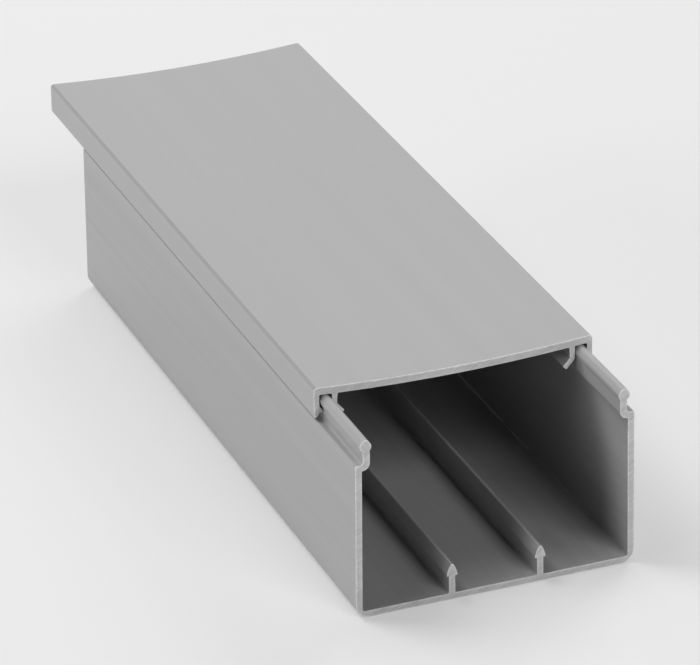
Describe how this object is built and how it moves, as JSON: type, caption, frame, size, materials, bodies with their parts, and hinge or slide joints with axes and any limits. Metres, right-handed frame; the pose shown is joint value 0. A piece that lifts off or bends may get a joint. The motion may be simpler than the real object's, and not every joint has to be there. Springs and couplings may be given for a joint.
{
  "type": "cord cover raceway",
  "caption": "Open-topped rectangular plastic cable channel with barbed floor ribs and a clip-on dished cover that slides along its walls.",
  "frame": {"origin": "centre of the base channel's flat underside, where it is fastened to a wall or floor", "axes": "+Y along the run, away from the end where the base stands out from under its cover; +Z out of the mounting surface, towards the cover; +X across the channel"},
  "size_m": [0.06, 0.184, 0.0411],
  "materials": {
    "base_plastic": "satin light grey extruded plastic with sawn ends",
    "cover_plastic": "satin light grey extruded plastic with sawn ends"
  },
  "bodies": {
    "channel": {"base_channel": "base_plastic"},
    "lid": {"cover": "cover_plastic"}
  },
  "joints": [
    {"name": "cover_slide", "type": "slide", "parent": "channel", "child": "lid", "axis": [0, 1, 0], "range_m": [-0.163, 0.122]}
  ]
}
